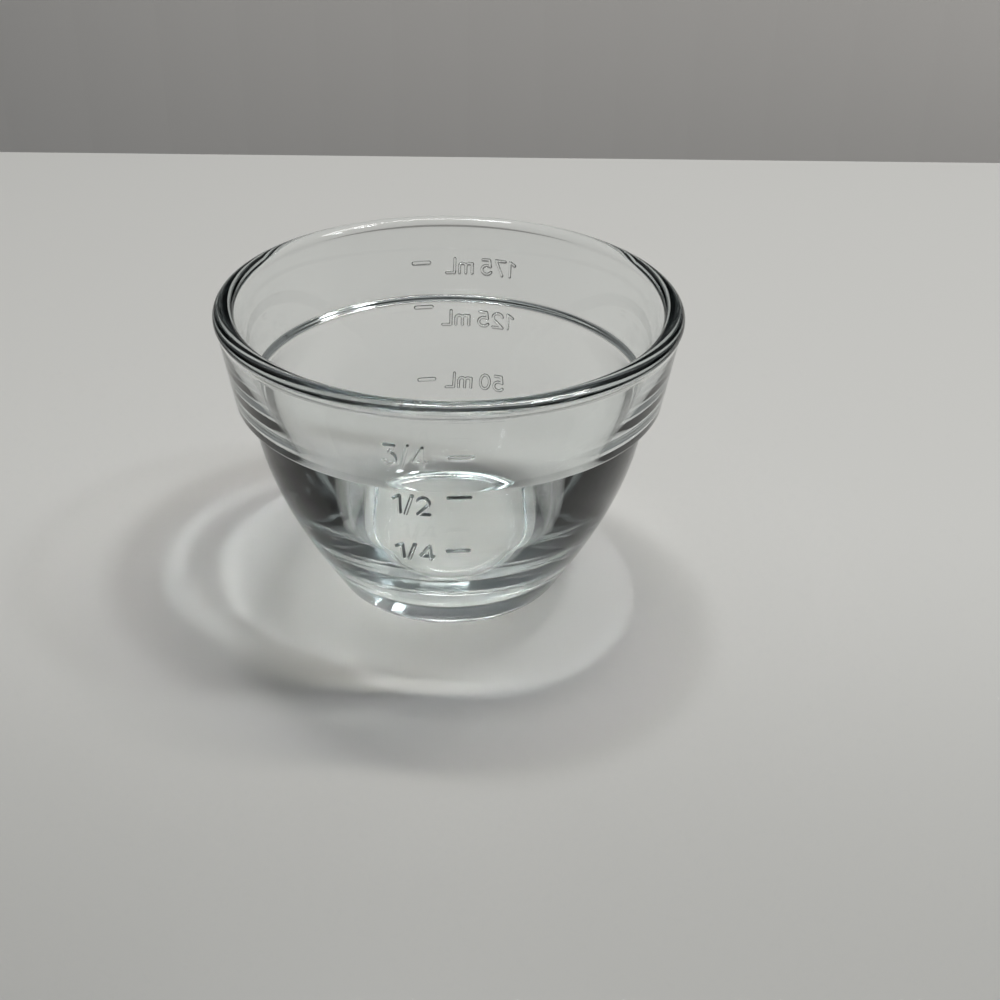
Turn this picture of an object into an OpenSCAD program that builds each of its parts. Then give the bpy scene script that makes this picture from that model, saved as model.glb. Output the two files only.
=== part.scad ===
// Prep bowl pressed in one piece from clear glass: a rounded rim bead, a straight band that ends in
// a ledge, a convex body, a thick floor and a ring foot round a shallow recess. Short raised bars
// on two opposite sides mark measured volumes. Millimetres; the foot stands on z = 0, the axis is Z,
// and the cup marks face -Y.
// The skilled part is the level of each bar: it isn't typed in, but solved from the cavity's own
// volume, so the bars stay true when a size of the bowl changes.

/* [Overall] */
// Diameter over the rim bead
rim_d = 95.5; // [92:0.5:104]
// Height from the table to the top of the rim
bowl_h = 64.5; // [58:0.5:76]

/* [Rim bead] */
// Width of the bead across its section
rim_w = 4.3; // [3.4:0.1:5.2]
// Height of the bead's rounded crown above its widest level
crown_h = 1.7; // [1:0.1:2.6]
// Depth of the bead's lip below its widest level
lip_h = 0.5; // [0.3:0.1:1.2]
// How far the bead stands out past the band
lip_out = 0.15; // [0.05:0.05:0.5]

/* [Band and ledge] */
// Diameter at the lower edge of the band
band_d = 89.8; // [87:0.2:94]
// Height of the band's lower edge above the table
ledge_z = 45.3; // [36:0.5:54]
// Width of the ledge from the band's edge in to the body
ledge_w = 3.2; // [1.6:0.1:4]
// How far the ledge falls from the band's edge to the body
ledge_fall = 0.6; // [0.2:0.1:2]
// Rounding of the band's lower edge
edge_r = 0.6; // [0.2:0.1:1]
// Fillet where the ledge meets the body
root_r = 0.8; // [0.2:0.1:1.2]

/* [Body and foot] */
// Diameter at the foot, where the body's curve meets the table
foot_d = 51.4; // [46:0.2:56]
// Lean of the body away from upright at the foot, in degrees
foot_lean = 30; // [20:1:40]
// Lean of the body away from upright under the ledge, in degrees
body_lean = 1; // [0:1:10]
// Rounding between the body and the standing ring
heel_r = 1.4; // [0.6:0.1:2.4]
// Width of the flat ring that the bowl stands on
ring_w = 2.6; // [1.5:0.1:4]
// Depth of the recess under the floor
recess_h = 1; // [0.4:0.1:2]
// Rounding of the recess's edges
recess_r = 0.7; // [0.2:0.1:1]

/* [Cavity] */
// Height of the cavity's floor above the table
floor_z = 4.9; // [4:0.1:8]
// Diameter of the floor's flat middle
floor_d = 28.8; // [20:0.2:34]
// Height of the waist, where the cavity's wall turns into its rounded bottom
waist_z = 25.4; // [20:0.2:32]
// Thickness of the glass at the waist, measured level
waist_w = 4.7; // [3.5:0.1:7]
// Lean of the cavity's wall away from upright at the waist, in degrees
waist_lean = 24.8; // [18:0.2:30]
// Lean of the cavity's wall away from upright at the rim, in degrees
rim_lean = 7.6; // [4:0.2:14]

/* [Volume marks] */
// Length of each bar along the wall
bar_l = 4.6; // [3:0.1:7]
// Thickness of each bar, measured up the wall
bar_t = 0.8; // [0.5:0.1:1.4]
// How far each bar stands out of the wall
bar_out = 0.35; // [0.2:0.05:0.6]
// Turn of the cup bars from the front, in degrees
cup_turn = 7; // [0:1:20]
// Turn of the metric bars from the back, in degrees
metric_turn = 13.5; // [0:0.5:25]

/* [Hidden] */
glass_tint = [0.82, 0.87, 0.87];
$fn = 96;
// Steps in a small rounding, in the crown and in the long wall curves
round_steps = 6;
crown_steps = 14;
body_steps = 18;
upper_steps = 16;
lower_steps = 20;
// Marked volumes in cubic millimetres
millilitre = 1000;
cup = 236.588 * millilitre;
cup_mark_shares = [1 / 4, 1 / 2, 3 / 4];
metric_marks_ml = [50, 125, 175];
// Handle lengths of the wall curves, as shares of each curve's height or width
foot_handle_share = 0.358;
ledge_handle_share = 0.356;
rim_handle_share = 0.42;
above_waist_handle_share = 0.173;
below_waist_handle_share = 0.8;
floor_handle_share = 0.283;
// Heights and radii worked out from the sizes above
widest_z = bowl_h - crown_h;
rim_r = rim_d / 2;
rim_mid_r = rim_r - rim_w / 2;
lip_r = rim_r - lip_out;
lip_z = widest_z - lip_h;
band_r = band_d / 2;
body_r = band_r - ledge_w;
body_z = ledge_z - ledge_fall;
foot_r = foot_d / 2;
standing_r = foot_r - heel_r * tan(45 - foot_lean / 2);
recess_edge_r = standing_r - ring_w;
floor_r = floor_d / 2;

// Point at share t of the cubic curve that the four points p steer
function curve_point(p, t) =
    pow(1 - t, 3) * p[0] + 3 * pow(1 - t, 2) * t * p[1] + 3 * (1 - t) * pow(t, 2) * p[2] + pow(t, 3) * p[3];

// The cubic curve as a list of points
function curve(p, steps) = [for (i = [0:steps]) curve_point(p, i / steps)];

// Stretch of an upright or flat ellipse about c, from angle a to angle b
function ellipse_arc(c, rx, rz, a, b, steps) =
    [for (i = [0:steps]) let (t = a + (b - a) * i / steps) c + [rx * cos(t), rz * sin(t)]];

// Direction from one point to another, at unit length
function heading(from, to) = (to - from) / norm(to - from);

// Corner p between points a and b, rounded to radius r
function rounded(a, p, b, r) =
    let (
        u = heading(p, a),
        v = heading(p, b),
        half = acos(u * v) / 2,
        c = p + (u + v) / norm(u + v) * r / sin(half),
        start = p + u * r / tan(half) - c,
        a0 = atan2(start.y, start.x),
        turn = (u.x * v.y - u.y * v.x > 0 ? -1 : 1) * (180 - 2 * half)
    )
    ellipse_arc(c, r, r, a0, a0 + turn, round_steps);

// Wall points that end a curve, beyond a rounding of radius r at its first point
function past_rounding(points, r) = [for (p = points) if (norm(p - points[0]) > r) p];

// Underside from the axis to the heel: the recess, its two rounded edges and the standing ring
function underside() =
    let (
        ceiling = [0, recess_h],
        inner = [recess_edge_r - recess_h, recess_h],
        outer = [recess_edge_r, 0],
        heel = [foot_r, 0]
    )
    concat(
        [ceiling],
        rounded(ceiling, inner, outer, recess_r),
        rounded(inner, outer, heel, recess_r),
        rounded(outer, heel, heel + [sin(foot_lean), cos(foot_lean)], heel_r)
    );

// Outer wall from the heel up to the foot of the ledge
function body_wall() =
    let (
        foot = [foot_r, 0],
        top = [body_r, body_z]
    )
    curve([
        foot,
        foot + foot_handle_share * body_z * [sin(foot_lean), cos(foot_lean)],
        top - ledge_handle_share * body_z * [sin(body_lean), cos(body_lean)],
        top
    ], body_steps);

// Ledge and band: the fillet at the body, the rounded lower edge and the lip's inner corner
function ledge_and_band() =
    let (
        under = [body_r, body_z] - [sin(body_lean), cos(body_lean)],
        root = [body_r, body_z],
        edge = [band_r, ledge_z],
        top = [lip_r, lip_z]
    )
    concat(
        rounded(under, root, edge, root_r),
        rounded(root, edge, top, edge_r)
    );

// Outer wall as pairs of height and radius, for the glass at the waist and for seating the bars
wall_pairs = [
    for (p = concat(past_rounding(body_wall(), heel_r), [[body_r, body_z], [band_r, ledge_z], [lip_r, lip_z]]))
        [p.y, p.x]
];

// Radius and lean of the outer wall at height z
function wall_r(z) = lookup(z, wall_pairs);
function wall_lean(z) = atan((wall_r(z + bar_t / 2) - wall_r(z - bar_t / 2)) / bar_t);

// Rim bead: the lip's underside, the crown and the start of the cavity
function rim_bead() =
    let (inner_turn = atan(crown_h / (rim_w / 2) * tan(rim_lean)))
    concat(
        ellipse_arc([lip_r, widest_z], lip_out, lip_h, -90, 0, round_steps),
        ellipse_arc([rim_mid_r, widest_z], rim_w / 2, crown_h, 180 / crown_steps, 180 - inner_turn, crown_steps)
    );

// Cavity wall from the rim down to the edge of the flat floor: two curves that meet at the waist
function cavity_wall() =
    let (
        inner_turn = atan(crown_h / (rim_w / 2) * tan(rim_lean)),
        top = [rim_mid_r - rim_w / 2 * cos(inner_turn), widest_z + crown_h * sin(inner_turn)],
        waist = [wall_r(waist_z) - waist_w, waist_z],
        floor_edge = [floor_r, floor_z],
        upper = curve([
            top,
            top - rim_handle_share * (top.y - waist.y) * [tan(rim_lean), 1],
            waist + above_waist_handle_share * (top.y - waist.y) * [tan(waist_lean), 1],
            waist
        ], upper_steps),
        lower = curve([
            waist,
            waist - below_waist_handle_share * (waist.y - floor_z) * [tan(waist_lean), 1],
            floor_edge + [floor_handle_share * (waist.x - floor_r), 0],
            floor_edge
        ], lower_steps)
    )
    concat(upper, [for (i = [1:lower_steps]) lower[i]]);

// Cavity points from the floor up, for the volume
cavity_up = let (down = cavity_wall()) [for (i = [len(down) - 1:-1:0]) down[i]];

// Volume between two neighbouring cavity points: a slice of a cone
function slice_volume(a, b) = PI / 3 * (b.y - a.y) * (a.x * a.x + a.x * b.x + b.x * b.x);

// Volume of the whole cavity up to the rim
function cavity_volume(i = 0) =
    i + 1 < len(cavity_up) ? slice_volume(cavity_up[i], cavity_up[i + 1]) + cavity_volume(i + 1) : 0;

// Level at which the cavity holds the volume v: whole slices are taken off, the last one is shared
function level(v, i = 0) =
    let (slice = slice_volume(cavity_up[i], cavity_up[i + 1]))
    v > slice ? level(v - slice, i + 1)
              : cavity_up[i].y + (cavity_up[i + 1].y - cavity_up[i].y) * v / slice;

// The glass itself, turned about its axis
module glass_body() {
    outline = concat(
        underside(),
        past_rounding([for (p = body_wall()) if (p.y < body_z - root_r * 2) p], heel_r),
        ledge_and_band(),
        rim_bead(),
        [for (i = [1:upper_steps + lower_steps]) cavity_wall()[i]],
        [[0, floor_z]]
    );
    rotate_extrude() polygon(outline);
}

// One raised bar with round ends, on the outer wall at height z
module bar(z) {
    sunk = bar_out * 3;
    translate([0, -wall_r(z), z])
        rotate([wall_lean(z), 0, 0])
            rotate([90, 0, 0])
                translate([0, 0, -sunk])
                    linear_extrude(sunk + bar_out) {
                        square([bar_l - bar_t, bar_t], center = true);
                        for (side = [-1, 1])
                            translate([side * (bar_l - bar_t) / 2, 0]) circle(d = bar_t);
                    }
}

// Bars for a list of volumes, left out where the bowl is too small to hold them
module bars(volumes) {
    for (v = volumes)
        if (v < cavity_volume() && level(v) < lip_z - bar_t)
            bar(level(v));
}

// The whole bowl
module bowl() {
    color(glass_tint) {
        glass_body();
        rotate([0, 0, cup_turn]) bars(cup_mark_shares * cup);
        rotate([0, 0, 180 + metric_turn]) bars(metric_marks_ml * millilitre);
    }
}

bowl();
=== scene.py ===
"""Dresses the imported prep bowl: one piece of clear pressed glass on a pale table, under soft studio light.

The bowl is a single closed skin of glass. Its section is carried round the axis, and the measuring
marks rise out of the same skin, as they do where hot glass fills cuts in a mould. Metres throughout;
the bowl stands on z = 0 and the cup marks face -Y.
"""
import bpy
import mathutils
import numpy as np
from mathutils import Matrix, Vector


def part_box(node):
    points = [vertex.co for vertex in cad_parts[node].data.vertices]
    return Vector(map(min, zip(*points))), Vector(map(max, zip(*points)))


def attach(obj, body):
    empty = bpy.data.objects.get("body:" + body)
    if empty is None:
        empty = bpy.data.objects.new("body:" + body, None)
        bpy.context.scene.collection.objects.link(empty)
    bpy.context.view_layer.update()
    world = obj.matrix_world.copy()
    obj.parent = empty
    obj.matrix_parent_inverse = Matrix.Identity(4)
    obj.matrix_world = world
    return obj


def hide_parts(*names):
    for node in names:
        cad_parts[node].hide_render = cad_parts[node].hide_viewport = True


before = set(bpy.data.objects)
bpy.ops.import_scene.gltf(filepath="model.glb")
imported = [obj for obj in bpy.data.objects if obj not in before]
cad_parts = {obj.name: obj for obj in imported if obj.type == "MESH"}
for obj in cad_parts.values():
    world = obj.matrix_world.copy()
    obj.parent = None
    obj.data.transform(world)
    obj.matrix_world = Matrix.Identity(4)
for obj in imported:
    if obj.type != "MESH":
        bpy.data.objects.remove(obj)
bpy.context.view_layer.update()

mm = 0.001

# The glass section, from the axis under the floor, out and up the wall, over the rim and down inside.
# The real bowl is pressed in one go: a plunger makes the smooth cavity, a mould makes the outside, and
# a flame rounds the rim. Only the rim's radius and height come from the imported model.
packed_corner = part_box("bowl")[1]
rim_radius = min(packed_corner.x, packed_corner.y)
rim_top = packed_corner.z
rim_width = 4.3 * mm
crown_height = 1.7 * mm
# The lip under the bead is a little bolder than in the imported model, for the dark line that it draws
lip_height = 0.6 * mm
lip_out = 0.38 * mm
band_radius = 44.9 * mm
ledge_level = 45.3 * mm
ledge_width = 3.2 * mm
ledge_fall = 0.6 * mm
band_edge_rounding = 0.6 * mm
ledge_root_rounding = 0.8 * mm
foot_radius = 25.7 * mm
foot_lean = np.radians(30)
body_lean = np.radians(1)
foot_handle_share = 0.358
ledge_handle_share = 0.356
heel_rounding = 1.4 * mm
ring_width = 2.6 * mm
recess_height = 1 * mm
recess_rounding = 0.7 * mm
floor_level = 4.9 * mm
floor_radius = 14.4 * mm
waist_level = 25.4 * mm
waist_radius = 33.31 * mm
waist_lean = np.radians(24.8)
rim_lean = np.radians(7.6)
rim_handle_share = 0.42
above_waist_handle_share = 0.173
below_waist_handle_share = 0.8
floor_handle_share = 0.283

# Coarse rows of the skin along each stretch of the section, and coarse columns round the axis. Each is
# split into some fine ones, which only the marks use.
recess_rows = 8
recess_rounding_rows = 4
recess_slope_rows = 1
ring_rows = 2
body_rows = 36
rounding_rows = 6
ledge_rows = 2
band_rows = 14
lip_rows = 3
crown_rows = 24
cavity_rows = 26
floor_rows = 6
columns = 216
fine = 8


def arc(centre, width, height, start, end, rows):
    """Points of an upright ellipse about centre between two angles in degrees, first point left out."""
    turn = np.radians(np.linspace(start, end, rows * fine + 1))[1:, None]
    return np.asarray(centre) + np.hstack([width * np.cos(turn), height * np.sin(turn)])


def straight(a, b, rows):
    """Points of the line from a to b at even steps, first point left out."""
    share = np.linspace(0, 1, rows * fine + 1)[1:, None]
    return (1 - share) * np.asarray(a) + share * np.asarray(b)


def bent(a, a_handle, b_handle, b, rows):
    """Points of the cubic curve from a to b that the two handles steer, first point left out."""
    t = np.linspace(0, 1, rows * fine + 1)[1:, None]
    return (
        (1 - t) ** 3 * np.asarray(a)
        + 3 * (1 - t) ** 2 * t * np.asarray(a_handle)
        + 3 * (1 - t) * t**2 * np.asarray(b_handle)
        + t**3 * np.asarray(b)
    )


def corner(a, p, b, radius, rows):
    """Corner p between points a and b, rounded to a radius: an arc that touches both sides."""
    a, p, b = (np.asarray(q) for q in (a, p, b))
    u = (a - p) / np.linalg.norm(a - p)
    v = (b - p) / np.linalg.norm(b - p)
    half = np.arccos(u @ v) / 2
    centre = p + (u + v) / np.linalg.norm(u + v) * radius / np.sin(half)
    start = p + u * radius / np.tan(half) - centre
    from_angle = np.degrees(np.arctan2(start[1], start[0]))
    side = -1 if u[0] * v[1] - u[1] * v[0] > 0 else 1
    to_angle = from_angle + side * (180 - 2 * np.degrees(half))
    return centre + start, arc(centre, radius, radius, from_angle, to_angle, rows)


def leaning(length, lean):
    """A step of a length up the wall, where the wall leans out from upright."""
    return length * np.array([np.sin(lean), np.cos(lean)])


widest_level = rim_top - crown_height
rim_middle = np.array([rim_radius - rim_width / 2, widest_level])
lip_radius = rim_radius - lip_out
body_top = np.array([band_radius - ledge_width, ledge_level - ledge_fall])
foot = np.array([foot_radius, 0.0])
standing_radius = foot_radius - heel_rounding * np.tan(np.pi / 4 - foot_lean / 2)
recess_radius = standing_radius - ring_width
recess_middle = np.array([0.0, recess_height])
recess_inner = np.array([recess_radius - recess_height, recess_height])
recess_outer = np.array([recess_radius, 0.0])
band_edge = np.array([band_radius, ledge_level])
band_top = np.array([lip_radius, widest_level - lip_height])
inner_turn = np.arctan(crown_height / (rim_width / 2) * np.tan(rim_lean))
cavity_top = rim_middle + np.array([-rim_width / 2 * np.cos(inner_turn), crown_height * np.sin(inner_turn)])
waist = np.array([waist_radius, waist_level])
floor_edge = np.array([floor_radius, floor_level])

ceiling_end, recess_inner_arc = corner(
    recess_middle, recess_inner, recess_outer, recess_rounding, recess_rounding_rows)
slope_end, recess_outer_arc = corner(recess_inner, recess_outer, foot, recess_rounding, recess_rounding_rows)
above_foot = foot + leaning(1, foot_lean)
under_ledge = body_top - leaning(1, body_lean)
ring_end, heel_arc = corner(recess_outer, foot, above_foot, heel_rounding, rounding_rows)
wall_end, root_arc = corner(under_ledge, body_top, band_edge, ledge_root_rounding, rounding_rows)
ledge_end, edge_arc = corner(body_top, band_edge, band_top, band_edge_rounding, rounding_rows)

# The body's own curve runs from the foot's corner, so the part inside the heel's rounding is cut off.
# It is worked out in many more points than it keeps, and the kept ones lie at even steps along it.
whole_body_rows = 400
whole_body = bent(
    foot,
    foot + leaning(foot_handle_share * body_top[1], foot_lean),
    body_top - leaning(ledge_handle_share * body_top[1], body_lean),
    body_top,
    whole_body_rows,
)
heel_end = heel_arc[-1]
past_heel = np.linalg.norm(whole_body - foot, axis=1) > np.linalg.norm(heel_end - foot)
below_ledge = whole_body[:, 1] < wall_end[1]
body_part = np.vstack([heel_end, whole_body[past_heel & below_ledge], wall_end])
along = np.concatenate([[0], np.cumsum(np.linalg.norm(np.diff(body_part, axis=0), axis=1))])
even = np.linspace(0, along[-1], body_rows * fine + 1)[1:]
body_arc = np.column_stack([np.interp(even, along, body_part[:, k]) for k in (0, 1)])

# The cavity's wall is two curves that meet at the waist
upper_height = cavity_top[1] - waist_level
lower_height = waist_level - floor_level
cavity_arc = np.vstack([
    bent(
        cavity_top,
        cavity_top - rim_handle_share * upper_height * np.array([np.tan(rim_lean), 1]),
        waist + above_waist_handle_share * upper_height * np.array([np.tan(waist_lean), 1]),
        waist,
        cavity_rows,
    ),
    bent(
        waist,
        waist - below_waist_handle_share * lower_height * np.array([np.tan(waist_lean), 1]),
        floor_edge + np.array([floor_handle_share * (waist_radius - floor_radius), 0]),
        floor_edge,
        cavity_rows,
    ),
])

section = np.vstack([
    recess_middle,
    straight(recess_middle, ceiling_end, recess_rows),
    recess_inner_arc,
    straight(recess_inner_arc[-1], slope_end, recess_slope_rows),
    recess_outer_arc,
    straight(recess_outer_arc[-1], ring_end, ring_rows),
    heel_arc,
    body_arc,
    root_arc,
    straight(root_arc[-1], ledge_end, ledge_rows),
    edge_arc,
    straight(edge_arc[-1], band_top, band_rows),
    arc((lip_radius, widest_level), lip_out, lip_height, -90, 0, lip_rows),
    arc(rim_middle, rim_width / 2, crown_height, 0, 180 - np.degrees(inner_turn), crown_rows),
    cavity_arc,
    straight(floor_edge, (0, floor_level), floor_rows),
])
section[-1, 0] = 0.0
rows = (len(section) - 1) // fine
pitch = 2 * np.pi / columns
radius, level = section.T
along_section = np.concatenate([[0], np.cumsum(np.linalg.norm(np.diff(section, axis=0), axis=1))])
slope = np.gradient(section, along_section, axis=0)
slope /= np.linalg.norm(slope, axis=1)[:, None]
out_r, out_z = slope[:, 1], -slope[:, 0]

# The measuring marks: short bars with their amounts beside them, raised by cuts in the mould. The cup
# marks are at the front and the millilitre marks at the back, so those read right from behind only.
# Each is a set of round-ended strokes, and the glass rises where a point lies near a stroke. A bar's
# level comes from the cavity's own volume, summed in thin slices of a cone from the floor up.
millilitre = 1e-6
cup = 236.588 * millilitre
inside_radius, inside_level = np.vstack([cavity_top, cavity_arc])[::-1].T
low_r, high_r = inside_radius[:-1], inside_radius[1:]
slices = np.pi / 3 * np.diff(inside_level) * (low_r**2 + low_r * high_r + high_r**2)
held = np.concatenate([[0], np.cumsum(slices)])
bar_length = 4.6 * mm
bar_half = 0.4 * mm
stroke_half = 0.27 * mm
shoulder = 0.17 * mm
mark_height = 0.42 * mm
# Room left round each mark, the gap between signs, and the points along a bowed stroke
reach = 0.8 * mm
sign_gap = 0.28
bow_points = 14
# Turns from the front, in degrees, of the amounts and of their bars
cup_amount_turn, cup_bar_turn = -5.5, 7.0
metric_amount_turn, metric_bar_turn = 175.2, 193.5


def bow(x, y, width, height, start, end):
    """Stroke along an ellipse about (x, y) from one angle to another, in degrees."""
    turn = np.radians(np.linspace(start, end, bow_points))
    return np.column_stack([x + width * np.cos(turn), y + height * np.sin(turn)])


# Each sign is drawn 1 high from its foot, and its width comes first
signs = {
    "0": (0.56, [bow(0.28, 0.5, 0.28, 0.5, 0, 360)]),
    "1": (0.30, [np.array([(0.0, 0.80), (0.28, 1.0), (0.28, 0.0)])]),
    "2": (0.56, [np.vstack([bow(0.28, 0.70, 0.27, 0.30, 165, -35), [(0.0, 0.0), (0.56, 0.0)]])]),
    "3": (0.54, [
        np.vstack([[(0.0, 1.0), (0.50, 1.0), (0.24, 0.62)], bow(0.25, 0.31, 0.29, 0.31, 85, -150)]),
    ]),
    "4": (0.58, [np.array([(0.44, 0.0), (0.44, 1.0), (0.0, 0.26), (0.58, 0.26)])]),
    "5": (0.54, [
        np.vstack([[(0.50, 1.0), (0.10, 1.0), (0.04, 0.55)], bow(0.25, 0.31, 0.29, 0.31, 125, -150)]),
    ]),
    "7": (0.54, [np.array([(0.0, 1.0), (0.54, 1.0), (0.16, 0.0)])]),
    "/": (0.36, [np.array([(0.0, -0.06), (0.36, 1.06)])]),
    "m": (0.74, [
        np.array([(0.0, 0.0), (0.0, 0.68)]),
        np.vstack([bow(0.185, 0.48, 0.185, 0.20, 180, 0), [(0.37, 0.0)]]),
        np.vstack([bow(0.555, 0.48, 0.185, 0.20, 180, 0), [(0.74, 0.0)]]),
    ]),
    "L": (0.46, [np.array([(0.0, 1.0), (0.0, 0.0), (0.46, 0.0)])]),
    " ": (0.0, []),
}


def written(amount, height, width):
    """Strokes of an amount, its signs side by side with a gap, then stretched to a width about its middle."""
    pen, strokes = 0.0, []
    for sign in amount:
        sign_width, parts = signs[sign]
        strokes += [part + [pen, -0.5] for part in parts]
        pen += sign_width + sign_gap
    pen -= sign_gap
    return [(stroke - [pen / 2, 0]) * [width / pen, height] for stroke in strokes]


def nearest(points, strokes):
    """Distance from each point to the nearest stroke: to each straight piece of it, the least of them."""
    a = np.vstack([stroke[:-1] for stroke in strokes])
    b = np.vstack([stroke[1:] for stroke in strokes])
    run = b - a
    share = ((points[:, None] - a) * run).sum(-1) / (run**2).sum(-1)
    foot_point = a + np.clip(share, 0, 1)[..., None] * run
    return np.linalg.norm(points[:, None] - foot_point, axis=-1).min(1)


# Amount, its level, its turn, its height, its width, the bar's volume and the bar's turn
marks = [
    ("1/4", 27.5 * mm, cup_amount_turn, 4.7 * mm, 7.6 * mm, cup / 4, cup_bar_turn),
    ("1/2", 40.1 * mm, cup_amount_turn, 4.5 * mm, 7.3 * mm, cup / 2, cup_bar_turn),
    ("3/4", 53.5 * mm, cup_amount_turn, 4.9 * mm, 8.0 * mm, cup * 3 / 4, cup_bar_turn),
    ("50 mL", 25.6 * mm, metric_amount_turn, 4.0 * mm, 15.0 * mm, 50 * millilitre, metric_bar_turn),
    ("125 mL", 40.7 * mm, metric_amount_turn, 4.0 * mm, 17.8 * mm, 125 * millilitre, metric_bar_turn),
    ("175 mL", 52.4 * mm, metric_amount_turn, 4.0 * mm, 17.4 * mm, 175 * millilitre, metric_bar_turn),
]
wall = np.flatnonzero((radius > standing_radius) & (np.arange(len(section)) < np.argmax(level)))
bar_stroke = [np.array([(-bar_length / 2 + bar_half, 0), (bar_length / 2 - bar_half, 0)])]
column_turn = np.arange(columns * fine) * 2 * np.pi / (columns * fine)
raised = np.zeros((len(section), columns * fine), np.float32)
marked = np.zeros((rows, columns), bool)
for amount, amount_level, amount_turn, height, width, volume, bar_turn in marks:
    bar_level = np.interp(volume, held, inside_level)
    middle = wall[np.argmin(abs(level[wall] - amount_level))]
    bar_middle = wall[np.argmin(abs(level[wall] - bar_level))]
    foot_of_mark = along_section[middle] - height / 2 - reach
    head_of_mark = max(along_section[middle] + height / 2, along_section[bar_middle]) + reach
    low_row = int(np.searchsorted(along_section, foot_of_mark) // fine)
    high_row = int(np.ceil(np.searchsorted(along_section, head_of_mark) / fine))
    left_turn = np.radians(amount_turn) - (width / 2 + reach) / radius[middle]
    right_turn = np.radians(bar_turn) + (bar_length / 2 + reach) / radius[middle]
    low_column = int(np.floor(left_turn / pitch))
    high_column = int(np.ceil(right_turn / pitch))
    row = np.arange(low_row * fine, high_row * fine + 1)
    column = np.arange(low_column * fine, high_column * fine + 1)
    turn = column * pitch / fine
    across = radius[row][:, None] * (turn - np.radians(amount_turn))
    up = np.broadcast_to((along_section[row] - along_section[middle])[:, None], across.shape)
    amount_strokes = written(amount, height - 2 * stroke_half, width - 2 * stroke_half)
    text = nearest(np.column_stack([across.ravel(), up.ravel()]), amount_strokes)
    bar_across = radius[row][:, None] * (turn - np.radians(bar_turn))
    bar_up = np.broadcast_to((along_section[row] - along_section[bar_middle])[:, None], across.shape)
    bar = nearest(np.column_stack([bar_across.ravel(), bar_up.ravel()]), bar_stroke)
    near = np.maximum(stroke_half - text, bar_half - bar).reshape(across.shape)
    rise = np.clip((near + shoulder) / (2 * shoulder), 0, 1)
    rise = mark_height * rise**2 * (3 - 2 * rise)
    raised[np.ix_(row, column % (columns * fine))] = rise
    marked[np.ix_(np.arange(low_row, high_row), np.arange(low_column, high_column) % columns)] = True

# The skin itself: coarse cells where the glass is plain, fine ones under the marks. A coarse cell
# beside a marked one takes in the fine corners on the side they share, so the skin stays closed.
cell_row, cell_column = np.meshgrid(np.arange(rows), np.arange(columns), indexing="ij")


def skin_key(row, column):
    """Number of the skin's corner at a fine row and column; on the axis all columns are one."""
    column = np.where((row == 0) | (row == len(section) - 1), 0, column % (columns * fine))
    return row * columns * fine + column


plain_row, plain_column = cell_row[~marked] * fine, cell_column[~marked] * fine
step = np.arange(fine)
ring_row = np.concatenate([0 * step, step, 0 * step + fine, fine - step])
ring_column = np.concatenate([step, 0 * step + fine, fine - step, 0 * step])
ring_key = skin_key(plain_row[:, None] + ring_row, plain_column[:, None] + ring_column)
beside = np.stack([
    np.roll(marked, 1, 0),
    np.roll(marked, -1, 1),
    np.roll(marked, -1, 0),
    np.roll(marked, 1, 1),
], -1)[~marked]
kept = np.repeat(beside, fine, axis=1)
kept[:, ::fine] = True
# A cell that ends on the axis has two corners in one place, so one of them is left out
kept[plain_row == 0, fine] = False
kept[plain_row == (rows - 1) * fine, 3 * fine] = False
coarse_corners = ring_key[kept]
coarse_sizes = kept.sum(1)

fine_cells = (marked.sum(), fine, fine)
fine_row = np.broadcast_to((cell_row[marked] * fine)[:, None, None] + step[:, None], fine_cells).ravel()
fine_column = np.broadcast_to((cell_column[marked] * fine)[:, None, None] + step, fine_cells).ravel()
fine_corners = np.stack([
    skin_key(fine_row, fine_column),
    skin_key(fine_row, fine_column + 1),
    skin_key(fine_row + 1, fine_column + 1),
    skin_key(fine_row + 1, fine_column),
], -1)

keys, corner_at = np.unique(np.concatenate([coarse_corners, fine_corners.ravel()]), return_inverse=True)
key_row, key_column = np.divmod(keys, columns * fine)
skin_radius = radius[key_row] + out_r[key_row] * raised[key_row, key_column]
skin_level = level[key_row] + out_z[key_row] * raised[key_row, key_column]
skin_turn = column_turn[key_column]
points = np.column_stack([skin_radius * np.sin(skin_turn), -skin_radius * np.cos(skin_turn), skin_level])
coarse_faces = np.split(corner_at[: len(coarse_corners)], np.cumsum(coarse_sizes)[:-1])
fine_faces = corner_at[len(coarse_corners):].reshape(-1, 4)

glass_mesh = bpy.data.meshes.new("glass_bowl")
glass_mesh.from_pydata(points.tolist(), [], [f.tolist() for f in coarse_faces] + fine_faces.tolist())
glass_mesh.polygons.foreach_set("use_smooth", np.ones(len(glass_mesh.polygons), bool))
glass_mesh.update()
glass_bowl = bpy.data.objects.new("glass_bowl", glass_mesh)
bpy.context.scene.collection.objects.link(glass_bowl)

# The glass: clear soda-lime, fire-polished, with the slow waves that a pressing keeps. Its faint cool
# tint lies in its depth, so that thick stretches are darker.
rubbed_to = 5 * mm
rubbed_most = 1 * mm
glass = bpy.data.materials.new("clear_glass")
glass.use_nodes = True
nodes, links = glass.node_tree.nodes, glass.node_tree.links
shader = nodes["Principled BSDF"]
shader.inputs["Base Color"].default_value = (0.985, 0.995, 0.99, 1)
shader.inputs["Transmission Weight"].default_value = 1
shader.inputs["IOR"].default_value = 1.52
place = nodes.new("ShaderNodeTexCoord")
waves = nodes.new("ShaderNodeTexNoise")
waves.inputs["Scale"].default_value = 45
waves.inputs["Detail"].default_value = 1
links.new(place.outputs["Object"], waves.inputs["Vector"])
bump = nodes.new("ShaderNodeBump")
bump.inputs["Strength"].default_value = 0.25
bump.inputs["Distance"].default_value = 0.0002
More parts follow.
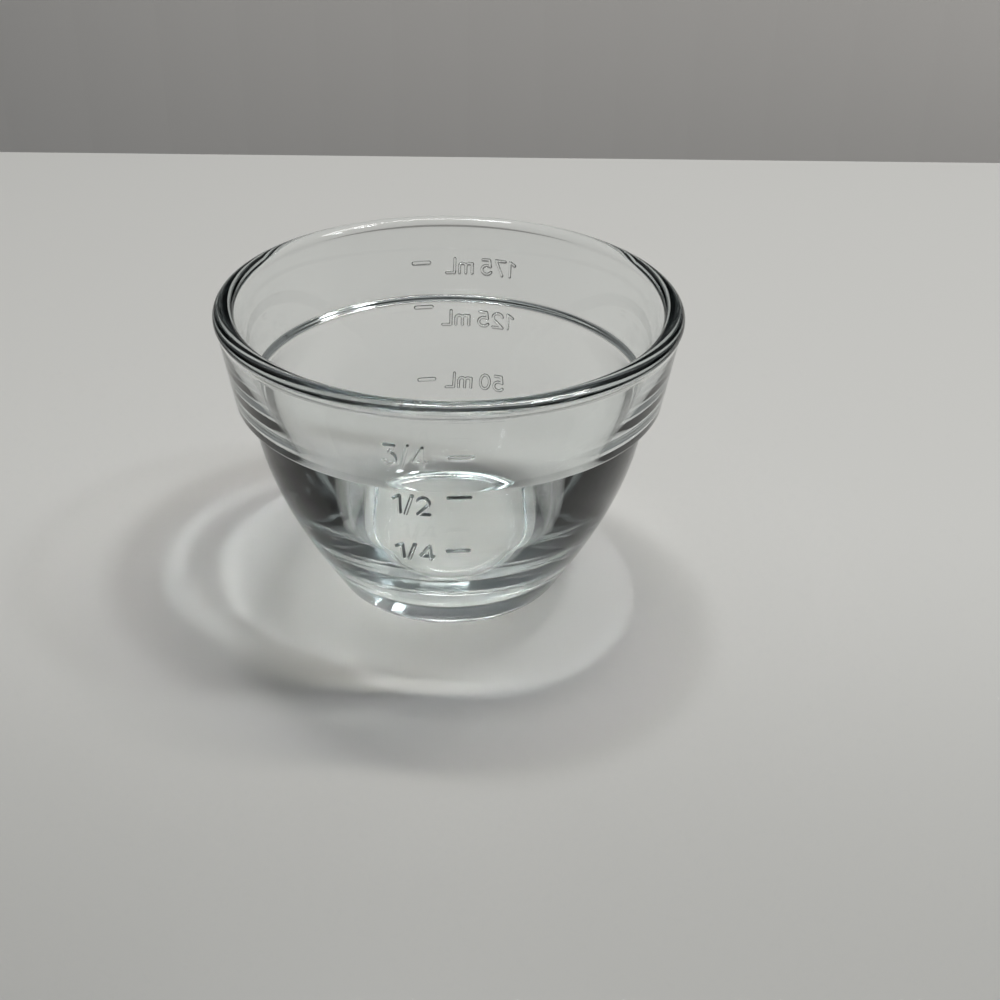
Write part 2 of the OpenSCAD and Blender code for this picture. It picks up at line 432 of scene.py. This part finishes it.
links.new(waves.outputs["Fac"], bump.inputs["Height"])
links.new(bump.outputs["Normal"], shader.inputs["Normal"])
# The foot is rubbed by every table it has stood on, so it is faintly rough in patches
rubs = nodes.new("ShaderNodeTexNoise")
rubs.inputs["Scale"].default_value = 900
rubs.inputs["Detail"].default_value = 2
links.new(place.outputs["Object"], rubs.inputs["Vector"])
heights = nodes.new("ShaderNodeSeparateXYZ")
links.new(place.outputs["Object"], heights.inputs["Vector"])
worn = nodes.new("ShaderNodeMapRange")
worn.inputs["From Min"].default_value = rubbed_to
worn.inputs["From Max"].default_value = rubbed_most
worn.inputs["To Max"].default_value = 0.22
links.new(heights.outputs["Z"], worn.inputs["Value"])
patches = nodes.new("ShaderNodeMath")
patches.operation = "MULTIPLY"
links.new(rubs.outputs["Fac"], patches.inputs[0])
links.new(worn.outputs["Result"], patches.inputs[1])
links.new(patches.outputs["Value"], shader.inputs["Roughness"])
depth_tint = nodes.new("ShaderNodeVolumeAbsorption")
depth_tint.inputs["Color"].default_value = (0.5, 0.58, 0.59, 1)
depth_tint.inputs["Density"].default_value = 21
links.new(depth_tint.outputs["Volume"], nodes["Material Output"].inputs["Volume"])
glass_mesh.materials.append(glass)
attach(glass_bowl, "root")
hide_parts("bowl")


def shaded_colour(name, far, near, start, end, roughness):
    """A material that goes smoothly from a near colour to a far one along Y, between two places on it."""
    made = bpy.data.materials.new(name)
    made.use_nodes = True
    made_nodes, made_links = made.node_tree.nodes, made.node_tree.links
    place = made_nodes.new("ShaderNodeTexCoord")
    parts = made_nodes.new("ShaderNodeSeparateXYZ")
    share = made_nodes.new("ShaderNodeMapRange")
    share.interpolation_type = "SMOOTHSTEP"
    share.inputs["From Min"].default_value = start
    share.inputs["From Max"].default_value = end
    blend = made_nodes.new("ShaderNodeMix")
    blend.data_type = "RGBA"
    blend.inputs[6].default_value = (*near, 1)
    blend.inputs[7].default_value = (*far, 1)
    made_links.new(place.outputs["Object"], parts.inputs["Vector"])
    made_links.new(parts.outputs["Y"], share.inputs["Value"])
    made_links.new(share.outputs["Result"], blend.inputs["Factor"])
    made_links.new(blend.outputs[2], made_nodes["Principled BSDF"].inputs["Base Color"])
    made_nodes["Principled BSDF"].inputs["Roughness"].default_value = roughness
    return made


# The table: a pale, smooth board whose straight back edge shows behind the bowl. It darkens a little
# towards the front: that darkening is painted shade, for light that falls off towards the camera.
table_back = 291.0 * mm
table_turn = np.radians(4.86)
table_half = 1.6
table_deep = 0.02
table_gap = 0.03 * mm
turn_x = np.array([np.cos(table_turn), np.sin(table_turn)])
turn_y = np.array([-np.sin(table_turn), np.cos(table_turn)])
corners = [turn_x * x + turn_y * y for x, y in (
    (-table_half, -table_half),
    (table_half, -table_half),
    (table_half, table_back),
    (-table_half, table_back),
)]
table_mesh = bpy.data.meshes.new("table")
table_mesh.from_pydata(
    [(x, y, -table_gap) for x, y in corners] + [(x, y, -table_deep) for x, y in corners], [],
    [(0, 1, 2, 3), (7, 6, 5, 4), (0, 4, 5, 1), (1, 5, 6, 2), (2, 6, 7, 3), (3, 7, 4, 0)])
table = bpy.data.objects.new("table", table_mesh)
bpy.context.scene.collection.objects.link(table)
# The darker near colour is painted shade, not the board's own colour; the far one is the board's own.
board_far, board_near_painted_shade = (0.872, 0.852, 0.82), (0.52, 0.509, 0.486)
board_painted_shade_at, board_pale_at = -0.19, 0.035
board_roughness = 0.35
table_mesh.materials.append(
    shaded_colour("pale_board_painted_shade", board_far, board_near_painted_shade, board_painted_shade_at, board_pale_at, board_roughness))

# The wall round the studio, standing well outside every view's camera: grey behind the bowl, where
# the camera sees it, and dim at the sides and in front.
wall_radius = 1.75
wall_low, wall_high = -0.7, 0.28
wall_sides = 96
wall_far, wall_near = (0.78, 0.765, 0.755), (0.22, 0.22, 0.22)
wall_dim_at, wall_pale_at = 0.5, 1.3
wall_roughness = 0.9
around = np.linspace(0, 2 * np.pi, wall_sides + 1)[:-1]
wall_ring = [(wall_radius * np.cos(a), wall_radius * np.sin(a)) for a in around]
wall_points = [(x, y, z) for z in (wall_low, wall_high) for x, y in wall_ring]
side = range(wall_sides)
wall_faces = [(i, i + wall_sides, (i + 1) % wall_sides + wall_sides, (i + 1) % wall_sides) for i in side]
wall_mesh = bpy.data.meshes.new("wall")
wall_mesh.from_pydata(wall_points, [], wall_faces)
wall_object = bpy.data.objects.new("wall", wall_mesh)
bpy.context.scene.collection.objects.link(wall_object)
wall_mesh.materials.append(
    shaded_colour("grey_wall", wall_far, wall_near, wall_dim_at, wall_pale_at, wall_roughness))


def lamp(name, place, aim, width, depth, watts, colour):
    """A flat lamp at a place, turned to face the point it is aimed at."""
    made = bpy.data.lights.new(name, "AREA")
    made.shape = "RECTANGLE"
    made.size, made.size_y = width, depth
    made.energy = watts
    made.color = colour
    hung = bpy.data.objects.new(name, made)
    bpy.context.scene.collection.objects.link(hung)
    hung.location = place
    away = mathutils.Vector(place) - mathutils.Vector(aim)
    hung.rotation_euler = away.to_track_quat("Z", "Y").to_euler()


# The lamps: three small cool squares whose rings of shadow cross beside the bowl, a long warm strip
# that runs left to right behind it and draws its shadow out, and one that washes the wall.
bowl_middle = (0, 0, 0)
square_side = 0.15
warm, cool = (1, 0.965, 0.91), (0.92, 0.97, 1)
lamp("square_right", (0.56, 0.07, 1.4), bowl_middle, square_side, square_side, 3.0, cool)
lamp("square_back", (-0.16, 0.45, 1.4), bowl_middle, square_side, square_side, 2.2, cool)
lamp("square_far_right", (1.0, 0.07, 1.4), bowl_middle, square_side, square_side, 2.4, cool)
lamp("strip_back", (0.3, 0.5, 1.6), (0.3, 0, 0), 1.2, 0.11, 8.1, warm)
lamp("wall_wash", (0.54, 1.1, 0.05), (0.54, 1.7, -0.35), 2.2, 0.08, 2.15, warm)

# The room: dim round the level of the table and lighter overhead, more so behind the bowl, which
# gives the thick glass its dark edges.
world = bpy.data.worlds.new("room")
world.use_nodes = True
room_nodes, room_links = world.node_tree.nodes, world.node_tree.links
direction = room_nodes.new("ShaderNodeTexCoord")
ways = room_nodes.new("ShaderNodeSeparateXYZ")
room_links.new(direction.outputs["Generated"], ways.inputs["Vector"])


def shades(steps):
    """Brightness of the room by the sine of the elevation, as a ramp of slightly cool greys."""
    ramp = room_nodes.new("ShaderNodeValToRGB")
    ramp.color_ramp.elements.remove(ramp.color_ramp.elements[1])
    for k, (rise, grey) in enumerate(steps):
        step_at = ramp.color_ramp.elements[0] if k == 0 else ramp.color_ramp.elements.new(rise)
        step_at.position = rise
        step_at.color = (0.94 * grey, 0.985 * grey, grey, 1)
    room_links.new(ways.outputs["Z"], ramp.inputs["Fac"])
    return ramp


room_behind = shades([
    (0.0, 0.22), (0.10, 0.17), (0.20, 0.07), (0.32, 0.02), (0.46, 0.02),
    (0.54, 0.14), (0.70, 0.22), (0.82, 0.32), (1.0, 0.48),
])
room_beside = shades([
    (0.0, 0.10), (0.20, 0.03), (0.70, 0.01), (0.80, 0.05), (0.88, 0.24), (0.94, 0.36), (1.0, 0.48),
])
backward = room_nodes.new("ShaderNodeMapRange")
backward.interpolation_type = "SMOOTHSTEP"
backward.inputs["From Min"].default_value = 0.1
backward.inputs["From Max"].default_value = 0.5
room_links.new(ways.outputs["Y"], backward.inputs["Value"])
room_mix = room_nodes.new("ShaderNodeMix")
room_mix.data_type = "RGBA"
room_links.new(backward.outputs["Result"], room_mix.inputs["Factor"])
room_links.new(room_beside.outputs["Color"], room_mix.inputs[6])
room_links.new(room_behind.outputs["Color"], room_mix.inputs[7])
room_links.new(room_mix.outputs[2], room_nodes["Background"].inputs["Color"])
bpy.context.scene.world = world

# The camera, at the place and heading found from the photograph's rim, band, ledge and foot.
camera_place = np.array([19.17, -238.29, 169.58]) * mm
heading, tilt, roll = np.radians([-1.908, 32.867, 1.562])
frame_width, focal_pixels = 1000, 1265.3
sensor_width = 36
ahead = np.array([np.sin(heading) * np.cos(tilt), np.cos(heading) * np.cos(tilt), -np.sin(tilt)])
level_right = np.array([np.cos(heading), -np.sin(heading), 0.0])
upright = np.cross(level_right, ahead)
right = np.cos(roll) * level_right + np.sin(roll) * upright
upwards = -np.sin(roll) * level_right + np.cos(roll) * upright
camera_data = bpy.data.cameras.new("camera")
camera_data.sensor_width = sensor_width
camera_data.lens = sensor_width * focal_pixels / frame_width
camera_data.clip_start = 0.01
camera_data.clip_end = 20
camera = bpy.data.objects.new("camera", camera_data)
bpy.context.scene.collection.objects.link(camera)
pose = mathutils.Matrix.Identity(4)
for k in range(3):
    pose[k][0], pose[k][1], pose[k][2], pose[k][3] = right[k], upwards[k], -ahead[k], camera_place[k]
camera.matrix_world = pose
bpy.context.scene.camera = camera
bpy.context.scene.view_settings.view_transform = "Standard"

# Light runs round inside the rim and the thick wall before it comes out, so it is followed further.
# The bright lines that the glass gathers on the table are kept sharp and at full strength.
bounces = 12
cycles = bpy.context.scene.cycles
cycles.blur_glossy = 0
cycles.sample_clamp_indirect = 0
cycles.max_bounces = bounces
cycles.glossy_bounces = bounces
cycles.transmission_bounces = bounces
